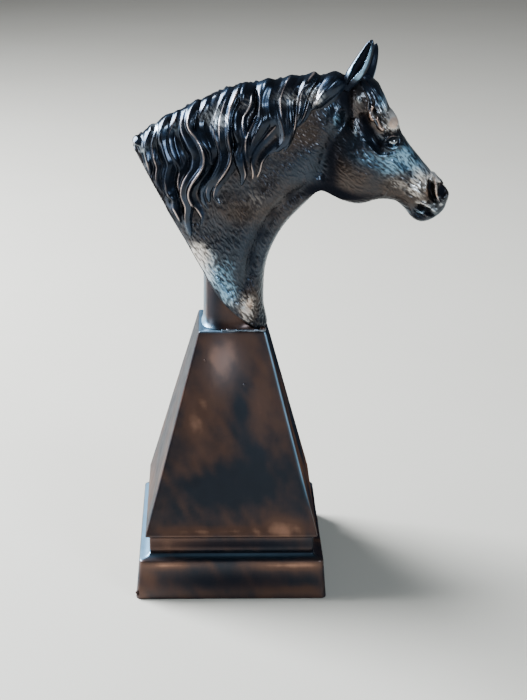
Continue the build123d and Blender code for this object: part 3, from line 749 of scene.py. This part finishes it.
# ---- column and pedestal ----
def make_column():
    """Smooth post that flares to the pyramid's square top, with a lumpy bead of solder along the joint."""
    step = 0.3
    lo = np.array([-16.4, -16.4, TOP_Z - 0.6])
    hi = np.array([16.4, 16.4, COLUMN_HI[2]])
    gx, gy, gz = grid_over(lo, hi + step, step)
    # a rounded square, which grows wider and squarer towards its foot
    flare = np.exp(-np.clip(gz - TOP_Z, 0, None) / 1.8)
    size = 12.9 + 1.5 * flare
    power = 2.3 + 0.8 * flare
    post = (np.abs(gx + 0.3 * (1 - flare)) ** power + np.abs(gy) ** power) ** (1 / power) - size
    post = np.maximum(np.maximum(post, TOP_Z - gz), gz - COLUMN_HI[2] + 0.4)
    # slimmer where it is inside the neck, so that it stays under the jugular groove
    post = np.maximum(post, np.minimum(np.minimum(gx - 3.0, gz - TOP_Z - 14.0), np.abs(gy) - 8.5))
    rng = np.random.default_rng(SEED + 5)
    spots = [(x, -14.9 + rng.uniform(-0.25, 0.15), rng.uniform(0.35, 0.8))
             for x in np.arange(-4.5, 14.0, 0.85)]
    spots += [(14.6, y, rng.uniform(0.3, 0.7)) for y in np.arange(-13.5, 2, 1.3)]
    spots.append((14.2, -14.2, 1.5))
    for x, y, r in spots:
        ball = np.sqrt((gx - x) ** 2 + (gy - y) ** 2 + (gz - TOP_Z - 0.25 - 0.4 * r) ** 2) - r
        post = smooth_min(ball, post, 0.5)
    obj, points = mesh_from_field("column", post, lo, step)
    x, y, z = points.T
    foot = smoothstep(6.0, 0.0, z - TOP_Z)
    shade = smoothstep(-9.0, -2.0, x) * smoothstep(-2.0, -8.0, y)
    bead = smoothstep(-14.0, -14.8, y) * smoothstep(2.2, 0.6, z - TOP_Z)
    side = smoothstep(-11.0, -12.6, x) * smoothstep(3.0, 0.0, y)
    tone = 0.3 * value_noise(points + 80, 7.0, SEED + 14) - 0.05 - 0.5 * foot * (1 - shade) + 0.5 * shade
    # light: painted shade over the whole column, less on the front-right part, with painted highlights on the
    # solder bead and down the left edge and a painted reflection on the flare's left
    light = -0.52 + 0.22 * shade + 0.7 * bead + 0.9 * foot * smoothstep(-4.0, -9.0, x) + 0.8 * side
    paint(obj, matte=0.0, tone=tone, light=light)
    return obj


# Where the pedestal's front is rubbed to copper (above 0) or left blue-black (below 0), as for the bust.
PEDESTAL_TONE = [
    (-4, 111, 9, 12, 1.35), (-15, 84, 8, 16, 0.85), (4, 88, 4, 17, -0.55), (13, 96, 6, 16, 0.6),
    (0, 52, 34, 9, -0.7), (-12, 66, 8, 6, 0.25), (12, 66, 9, 9, -0.3), (4, 41, 12, 5, 0.35),
    (-10, 33, 26, 2.2, 0.9), (26, 34, 12, 4.5, 1), (-27, 26, 11, 4, 0.8), (20, 26, 16, 4, -0.3),
    (-30, 17.5, 10, 2, 1.2), (28, 17, 17, 2.4, 1.2), (-38, 11, 5, 5, 0.6), (0, 12, 18, 6, -0.3),
    (30, 4.5, 13, 2, 0.55), (-12, 3.5, 12, 2.5, 0.2), (33, 9, 8, 2.5, -0.4), (0, 20.6, 60, 0.9, -1.2),
]
# Painted light on the pedestal's front, in the same columns: painted highlights (above 0) and painted shade
# (below 0), darkest on the recessed band and the plinth's front.
PEDESTAL_PAINTED_LIGHT = [
    (-4, 110, 9, 14, 0.28), (10, 84, 12, 30, 0.08), (0, 25.5, 60, 3, -0.75), (0, 20.3, 60, 1.1, 0.5),
    (0, 9, 60, 8, -0.7), (0, 33, 50, 4, -0.35), (-30, 17.8, 14, 1.2, 0.25), (30, 17.8, 16, 1.2, 0.25),
]


def facing(ahead, across, lo, hi):
    """1 on the pedestal's face that looks along an axis, falling to 0 on the faces beside it."""
    return smoothstep(lo, hi, ahead / np.maximum(np.abs(across), 1e-3))


def pedestal_painted_light(x, y, z):
    """Painted light on the pedestal: painted reflections on the ledge's left side and the flat top's left
    part, a painted highlight along the front's right edge, painted shade on the pyramid's left face, and the
    front's painted highlights and shade.
    """
    left = facing(-x, y, 0.97, 1.03)
    front = facing(-y, x, 0.97, 1.03) * blobs(x, z, PEDESTAL_PAINTED_LIGHT)
    ledge = left * smoothstep(18.9, 19.6, z) * smoothstep(23.0, 21.5, z)
    corner = smoothstep(TOP_Z - 0.4, TOP_Z - 0.1, z) * smoothstep(6.0, -4.0, x)
    edge = np.exp(-(((x + y) / 0.7) ** 2)) * (x > 0) * smoothstep(36.0, 60.0, z) * (z < TOP_Z - 0.2)
    return front - 0.3 * left * (z > 30) + ledge + 0.6 * corner + 0.9 * edge


def pedestal_tone(points, seed):
    """Where the pedestal's finish is rubbed or blue-black: painted on the front, left to chance elsewhere."""
    x, y, z = points.T
    front = facing(-y, x, 0.92, 1.02)
    others = 0.9 * value_noise(points + 60, 24.0, seed) + 0.3 * value_noise(points + 60, 9.0, seed + 1)
    others += 0.5 * np.exp(-(((z - 33) / 3.0) ** 2)) + 0.5 * np.exp(-(((z - 17.5) / 2.0) ** 2)) - 0.15
    streaks = value_noise(np.column_stack([x + 0.6 * z, y, 0.35 * z]) + 40, 3.4, seed + 2)
    return front * blobs(x, z, PEDESTAL_TONE) + (1 - front) * others + 0.28 * streaks


RING_PITCH = 1.6                           # mm; a casting's rings are this far apart, or up to twice that
INSET = 0.09                               # mm inside the profile, to keep the uneven skin in the CAD box


def square_ring(z, half, corner):
    """Points of a rounded square at a height, anticlockwise."""
    per_side, per_corner = 56, 8
    flat = half - corner
    points = []
    for quarter in range(4):
        a = quarter * math.pi / 2
        c, s = math.cos(a), math.sin(a)
        for i in range(per_side):
            y = -flat + 2 * flat * i / per_side
            points.append((half * c - y * s, half * s + y * c, z))
        for i in range(per_corner):
            b = a + (math.pi / 2) * i / per_corner
            points.append((flat * (c - s) + corner * math.cos(b), flat * (s + c) + corner * math.sin(b), z))
    return points


def pimple(first, centre, radius):
    """The points and faces of a small bead, half sunk in a casting's skin; first is its first point."""
    around, rows = 12, 7
    unit = []
    for i in range(1, rows):
        up = math.pi * i / rows
        for j in range(around):
            turn = 2 * math.pi * j / around
            unit.append((math.sin(up) * math.cos(turn), math.sin(up) * math.sin(turn), math.cos(up)))
    unit += [(0, 0, 1), (0, 0, -1)]
    top, low = first + len(unit) - 2, first + len(unit) - 1
    last = first + (rows - 2) * around
    faces = []
    for a in range(first, last, around):
        for j in range(around):
            k = (j + 1) % around
            faces.append((a + j, a + around + j, a + around + k, a + k))
    for j in range(around):
        k = (j + 1) % around
        faces += [(top, first + j, first + k), (low, last + k, last + j)]
    return np.array(centre) + radius * np.array(unit), faces


def casting(name, profile, seed, pimples):
    """A closed square casting, lofted through (z, half width, corner radius) from its underside to its top.

    Its skin is slightly uneven, and it has casting pimples, each given by its centre and radius."""
    rings = []
    for start, end in zip(profile[:-1], profile[1:]):
        steps = max(int(math.hypot(end[0] - start[0], end[1] - start[1]) / RING_PITCH), 1)
        for i in range(steps):
            rings.append([p + (q - p) * (i / steps) for p, q in zip(start, end)])
    rings.append(profile[-1])
    points = np.vstack([square_ring(*ring) for ring in rings])
    count = len(points) // len(rings)
    faces = []
    for a in range(0, len(points) - count, count):
        for i in range(count):
            j = (i + 1) % count
            faces.append((a + i, a + j, a + count + j, a + count + i))
    faces.append(tuple(range(len(points) - count, len(points))))
    faces.append(tuple(range(count))[::-1])
    uneven = 0.07 * value_noise(points + 100, 9.0, seed) + 0.03 * value_noise(points + 100, 2.6, seed + 1)
    inward = points[:, :2] / np.hypot(points[:, 0], points[:, 1])[:, None]
    points[:, :2] -= inward * (INSET + uneven)[:, None]
    for centre, radius in pimples:
        bead, bead_faces = pimple(len(points), centre, radius)
        points = np.vstack([points, bead])
        faces += bead_faces
    mesh = bpy.data.meshes.new(name)
    mesh.from_pydata([tuple(p) for p in points * MM], [], faces)
    obj = link_mesh(name, mesh)
    x, y, z = points.T
    paint(obj, tone=pedestal_tone(points, seed), light=pedestal_painted_light(x, y, z),
          matte=facing(x, y, 1.0, 1.06) + 0.4 * (x < -np.abs(y)) * (z > 30))
    return obj


def make_pedestal():
    """Pyramid, band and plinth. The pairs of rows that are close together round an edge off."""
    wall, soft = 3.0, 0.45
    foot, top = PYRAMID_HI[0], 15.6
    z0, z1 = PYRAMID_LO[2], PYRAMID_HI[2]

    def on_front(x, z):
        """A point on the pyramid's front face."""
        return x, -(foot - 0.3 + (top + 0.2 - foot) * (z - z0) / (z1 - z0)) + 0.15, z

    pyramid = casting("pyramid", [
        (z0 + 3, foot - wall - 0.8, 0.5), (z0 + 0.2, foot - wall, 0.5), (z0, foot - wall + 0.2, 0.6),
        (z0, foot - soft, 0.6), (z0 + 0.1, foot - 0.12, 0.75), (z0 + soft, foot - 0.02, 0.8),
        (z0 + 1.2, foot - 0.25, 0.8), (z1 - 0.9, top + 0.2, 0.8), (z1 - 0.25, top - 0.05, 0.7),
        (z1, top - 0.35, 0.5), (z1 - 0.02, top - 6.0, 0.5),
    ], SEED + 7, ((on_front(-12.6, 111.0), 0.6), (on_front(5.6, 100.0), 0.7)))
    half, band_z = BAND_HI[0], BAND_LO[2]
    band = casting("band", [
        (band_z - 0.3, half - wall, 1.0), (band_z - 0.3, half - 0.3, 1.0), (band_z, half, 1.0),
        (z0 - 0.02, half, 1.0), (z0 - 0.02, half - wall, 1.0),
    ], SEED + 8, ())
    base, shoulder, shoulder_z = PLINTH_HI[0], 43.4, 19.4
    plinth = casting("plinth", [
        (0.0, base - 3.2, 1.6), (0.0, base - 0.5, 2.3), (0.15, base - 0.12, 2.5), (0.6, base, 2.6),
        (shoulder_z - 0.7, shoulder + 0.03, 2.6), (shoulder_z - 0.2, shoulder - 0.18, 2.5),
        (shoulder_z, shoulder - 0.7, 2.2), (shoulder_z + 0.12, shoulder - 1.6, 1.8),
        (shoulder_z + 0.3, half + 2.1, 1.4), (shoulder_z + 0.8, half + 1.0, 1.2),
        (shoulder_z + 1.5, half + 0.35, 1.1), (PLINTH_HI[2], half + 0.1, 1.0), (PLINTH_HI[2], half - 2, 1.0),
    ], SEED + 9, (((-44.5, -44.0, 3.4), 0.75), ((-44.2, -44.3, 2.3), 0.6)))
    return pyramid, band, plinth


# ---- materials ----
class Nodes:
    """A small helper that adds nodes to a material and joins them."""

    def __init__(self, name):
        self.material = bpy.data.materials.new(name)
        self.material.use_nodes = True
        self.tree = self.material.node_tree
        self.shader = self.tree.nodes["Principled BSDF"]

    def feed(self, node, key, value):
        """Links a node's input, or sets it where the value is a plain one."""
        socket = node.inputs[key]
        if isinstance(value, bpy.types.NodeSocket):
            self.tree.links.new(value, socket)
        else:
            socket.default_value = value

    def fill(self, node, **inputs):
        """Feeds several inputs, with _ for each space in their names."""
        for key, value in inputs.items():
            self.feed(node, key.replace("_", " "), value)

    def add(self, kind, **inputs):
        node = self.tree.nodes.new(kind)
        self.fill(node, **inputs)
        return node

    def math(self, kind, a, b, clamp=False):
        node = self.add("ShaderNodeMath")
        node.operation = kind
        node.use_clamp = clamp
        self.feed(node, 0, a)
        self.feed(node, 1, b)
        return node.outputs[0]

    plus = partialmethod(math, "ADD")
    minus = partialmethod(math, "SUBTRACT")
    times = partialmethod(math, "MULTIPLY")

    def ramp(self, value, lo, hi, out_lo=0.0, out_hi=1.0):
        node = self.add("ShaderNodeMapRange")
        node.interpolation_type = "SMOOTHSTEP"
        self.fill(node, Value=value, From_Min=lo, From_Max=hi, To_Min=out_lo, To_Max=out_hi)
        return node.outputs["Result"]

    def mix(self, factor, a, b):
        node = self.add("ShaderNodeMix")
        node.data_type = "RGBA"
        for key, value in ((0, factor), (6, a), (7, b)):
            self.feed(node, key, value)
        return node.outputs[2]

    def noise(self, scale, detail=4.0, rough=0.55, stretch=(1, 1, 1), offset=0.0):
        coords = self.add("ShaderNodeTexCoord")
        place = self.add("ShaderNodeMapping", Vector=coords.outputs["Object"], Scale=stretch,
                         Location=(offset, offset * 0.7, offset * 1.3))
        node = self.add("ShaderNodeTexNoise", Vector=place.outputs["Vector"], Scale=scale, Detail=detail,
                        Roughness=rough)
        return node.outputs["Fac"]

    def attribute(self, name):
        node = self.add("ShaderNodeAttribute")
        node.attribute_name = name
        return node.outputs["Fac"]

    def bump(self, strength, height):
        node = self.add("ShaderNodeBump", Strength=strength, Distance=0.0003, Height=height)
        self.feed(self.shader, "Normal", node.outputs["Normal"])


BLACK = (0.008, 0.009, 0.013, 1)
BLUE_BLACK = (0.014, 0.018, 0.027, 1)
NAVY = (0.020, 0.034, 0.060, 1)
SLATE = (0.023, 0.032, 0.046, 1)
UMBER = (0.050, 0.036, 0.030, 1)
BROWN = (0.105, 0.053, 0.036, 1)
COPPER = (0.46, 0.235, 0.145, 1)
RUBBED = (0.60, 0.47, 0.42, 1)
BARE = (0.66, 0.43, 0.32, 1)
# PALE, PALE_BLUE and GOLDEN are the tints of the painted highlights and painted reflections
PALE = (0.80, 0.73, 0.67, 1)
PALE_BLUE = (0.26, 0.48, 0.66, 1)
GOLDEN = (0.97, 0.77, 0.61, 1)
DULL = (0.05, 0.05, 0.06, 1)
GRAZING = (0.36, 0.46, 0.52, 1)            # the tint of the sheen at a glancing angle


def patina(name, sculpted):
    """Blue-black and brown patina over cast metal under clear lacquer, rubbed to copper where touched, with
    painted light and shade from the light attribute.
    """
    n = Nodes(name)
    clouds = n.noise(60.0, 3.0, 0.5)
    mottle = n.noise(170.0, 2.0, 0.5, offset=3.1)
    tone, light = n.attribute("tone"), n.attribute("light")
    cloudy = n.minus(clouds, 0.5)
    # light holds painted highlights and reflections (above 0) and painted shade (below 0); it also turns the
    # sheen, coat and metal down in the painted shade and the metal down in the painted highlights
    sheen = n.ramp(light, -0.8, 0.0)
    metal = n.times(n.ramp(light, -0.85, -0.35), n.ramp(light, 0.3, 1.8, 0.82, 0.2))
    if sculpted:
        mane, worn, hair = (n.attribute(key) for key in ("mane", "worn", "hair"))
        warm = n.plus(tone, n.times(cloudy, 0.8))
        coat_colour = n.mix(n.ramp(warm, -0.35, 0.4), SLATE, UMBER)
        coat_colour = n.mix(n.times(n.ramp(hair, 0.1, 1.0), 0.03), coat_colour, COPPER)
        coat_colour = n.mix(n.times(n.ramp(hair, -0.1, -1.0), 0.14), coat_colour, BLACK)
        base = n.mix(mane, coat_colour, n.mix(n.ramp(mottle, 0.35, 0.7), BLUE_BLACK, NAVY))
        # pale blue, pale and golden tints of the painted highlights and reflections, picked by the tone
        pale = n.mix(n.ramp(tone, 0.7, 1.6), n.mix(n.ramp(tone, -0.4, 0.25), PALE_BLUE, PALE), GOLDEN)
        painted_highlight = n.times(light, n.plus(n.times(hair, 0.7), 1.0))
        base = n.mix(n.times(n.ramp(painted_highlight, 0.08, 1.0), 0.85), base, pale)
        # painted shade: black where light is below 0
        base = n.mix(n.ramp(light, -0.05, -1.0), base, BLACK)
        # rubbed to bare metal on raised places, plus the painted crest highlights that come with the wear
        # attribute
        rub = n.plus(n.plus(worn, n.times(cloudy, 1.1)), n.times(tone, 0.9))
        base = n.mix(n.ramp(rub, 0.8, 1.6, 0.0, 0.7), base, n.mix(mane, BARE, RUBBED))
        deep = n.plus(worn, n.times(n.minus(1.0, mane), 0.35))
        base = n.mix(n.times(n.ramp(deep, -0.15, -1.0), 0.85), base, BLACK)
        rough = n.plus(n.ramp(mottle, 0.2, 0.8, 0.26, 0.40), n.times(mane, -0.09))
        strokes = n.times(hair, n.minus(1.0, mane))
        n.bump(0.35, n.plus(n.times(mottle, 0.3), n.times(strokes, 0.35)))
    else:
        matte = n.attribute("matte")
        brushed = n.noise(260.0, 2.0, 0.5, stretch=(1.0, 1.0, 0.22), offset=1.7)
        uneven = n.plus(n.minus(mottle, 0.5), n.minus(brushed, 0.5))
        warm = n.plus(tone, n.plus(cloudy, n.times(uneven, 0.35)))
        base = n.mix(n.ramp(warm, -0.5, 0.7), BLUE_BLACK, BROWN)
        base = n.mix(n.times(n.ramp(warm, 0.6, 1.4), 0.7), base, COPPER)
        # painted reflection in pale blue where light is above 0, painted shade in black where it is below 0
        base = n.mix(n.times(n.ramp(light, 0.0, 1.0), 0.8), base, PALE_BLUE)
        base = n.mix(n.ramp(light, 0.0, -1.0), base, BLACK)
        sheen = n.times(sheen, n.minus(1.0, matte, clamp=True))
        metal = n.times(metal, n.minus(1.0, n.times(matte, 0.6)))
        rough = n.plus(n.ramp(mottle, 0.2, 0.8, 0.30, 0.42), n.times(matte, 0.35))
    n.fill(n.shader, Base_Color=base, Roughness=rough, Metallic=metal, Coat_Weight=n.times(sheen, 0.45),
           Specular_Tint=n.mix(sheen, DULL, GRAZING), Specular_IOR_Level=n.times(sheen, 0.5),
           Coat_Roughness=0.16 if sculpted else 0.3)
    return n.material


def speckled(name, scale, dark, light, detail=4.0, **uniform):
    """A material whose colour wanders between two tints, as Nodes, so that more can be joined to it."""
    n = Nodes(name)
    n.fill(n.shader, Base_Color=n.mix(n.noise(scale, detail), dark, light), **uniform)
    return n


def polished(name, scale, dark, light, grain, smoothest, roughest, **uniform):
    """Bare metal whose gloss wanders too."""
    n = speckled(name, scale, dark, light, Metallic=1.0, **uniform)
    n.feed(n.shader, "Roughness", n.ramp(n.noise(grain), 0.2, 0.8, smoothest, roughest))
    return n.material


def dress(obj, material, *nodes):
    """Gives a new piece its finish and its place on the one body, and hides the CAD nodes that it stands for.
    """
    obj.data.materials.clear()
    obj.data.materials.append(material)
    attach(obj, "root")
    if nodes:
        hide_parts(*nodes)


# ---- the pieces ----
SCULPTED = patina("patina_sculpted", True)
SMOOTH = patina("patina_smooth", False)
# dark polished metal, brighter than the coat around it
EYE = polished("polished_eye", 900.0, (0.20, 0.23, 0.26, 1), (0.30, 0.32, 0.34, 1), 600.0, 0.05, 0.12,
               Coat_Weight=1.0, Coat_Roughness=0.04)

bust_right, bust_left = make_bust()
right_ear = make_ear("right_ear", (49.6, -5.6, 235.4), (60.6, -8.8, 257.4), 3.6, (-0.25, -1.0, 0.1), -0.14)
left_ear = make_ear("left_ear", (57.4, 5.4, 231.0), (64.2, 8.2, 252.8), 4.2, (0.88, 0.48, 0.0), 0.1)
dress(bust_right, SCULPTED, "bust_right_half")
dress(bust_left, SCULPTED, "bust_left_half")
dress(right_ear, SCULPTED, "ear_right")
dress(left_ear, SCULPTED, "ear_left")
for eye_name, eye_side in (("right_eye", RIGHT), ("left_eye", LEFT)):
    dress(make_eye(eye_name, (71.1, eye_side * 10.9, 213.1), 2.35), EYE)
dress(make_column(), SMOOTH, "neck_column")
pyramid, band, plinth = make_pedestal()
dress(pyramid, SMOOTH, "pyramid_shell")
dress(band, SMOOTH, "recessed_band")
dress(plinth, SMOOTH, "plinth_shell")

BAIZE = speckled("baize", 700.0, (0.012, 0.05, 0.022, 1), (0.03, 0.10, 0.045, 1), Roughness=0.95,
                 Sheen_Weight=0.4)
BAIZE.bump(0.6, BAIZE.noise(1600.0, 2.0))
BOARD = speckled("hardboard", 500.0, (0.16, 0.09, 0.045, 1), (0.30, 0.18, 0.10, 1), Roughness=0.8)
BRASS = polished("turned_brass", 300.0, (0.60, 0.42, 0.18, 1), (0.78, 0.58, 0.28, 1), 500.0, 0.25, 0.45)
STEEL = polished("zinc_steel", 300.0, (0.48, 0.49, 0.50, 1), (0.66, 0.67, 0.68, 1), 500.0, 0.25, 0.45)
INNER = {"felt_pad": BAIZE.material, "base_board": BOARD.material, "column_insert": BRASS}
for node in ("tie_rod", "tie_washer", "tie_nut", "board_screws", "locating_pins"):
    INNER[node] = STEEL
for node, material in INNER.items():
    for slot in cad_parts[node].material_slots:
        slot.material = material


# ---- stage ----
LAMPS = [
    # name, place, target, size, power, colour
    ("window", (-0.85, 0.42, 0.78), (0.0, 0.0, 0.15), (0.75, 0.6), 80.0, (0.80, 0.89, 1.0)),
    ("side_window", (-1.35, -0.15, 0.30), (0.0, 0.0, 0.17), (0.6, 0.7), 10.0, (0.85, 0.92, 1.0)),
    ("overhead", (0.9, -1.05, 0.85), (0.03, 0.0, 0.2), (0.5, 0.4), 15.0, (0.66, 0.83, 1.0)),
    ("front", (0.25, -1.7, 0.45), (0.03, 0.0, 0.2), (0.35, 0.35), 0.8, (0.92, 0.95, 1.0)),
]


def make_stage():
    """Pale floor, four soft lamps and a faint surround."""
    bpy.ops.mesh.primitive_plane_add(size=6.0, location=(0, 0, 0))
    floor = bpy.context.active_object
    floor.name = "floor"
    pale = speckled("pale_floor", 6.0, (0.62, 0.56, 0.465, 1), (0.67, 0.61, 0.515, 1), 3.0, Roughness=0.55)
    floor.data.materials.append(pale.material)
    for name, place, target, size, power, colour in LAMPS:
        lamp = bpy.data.lights.new(name, "AREA")
        lamp.shape = "RECTANGLE"
        lamp.size, lamp.size_y = size
        lamp.energy = power
        lamp.color = colour
        obj = bpy.data.objects.new(name, lamp)
        obj.location = place
        obj.rotation_euler = (Vector(target) - Vector(place)).to_track_quat("-Z", "Y").to_euler()
        bpy.context.scene.collection.objects.link(obj)
    world = bpy.data.worlds.new("studio")
    bpy.context.scene.world = world
    world.use_nodes = True
    back = world.node_tree.nodes["Background"]
    back.inputs["Color"].default_value = (0.80, 0.84, 0.90, 1)
    back.inputs["Strength"].default_value = 0.12


make_stage()
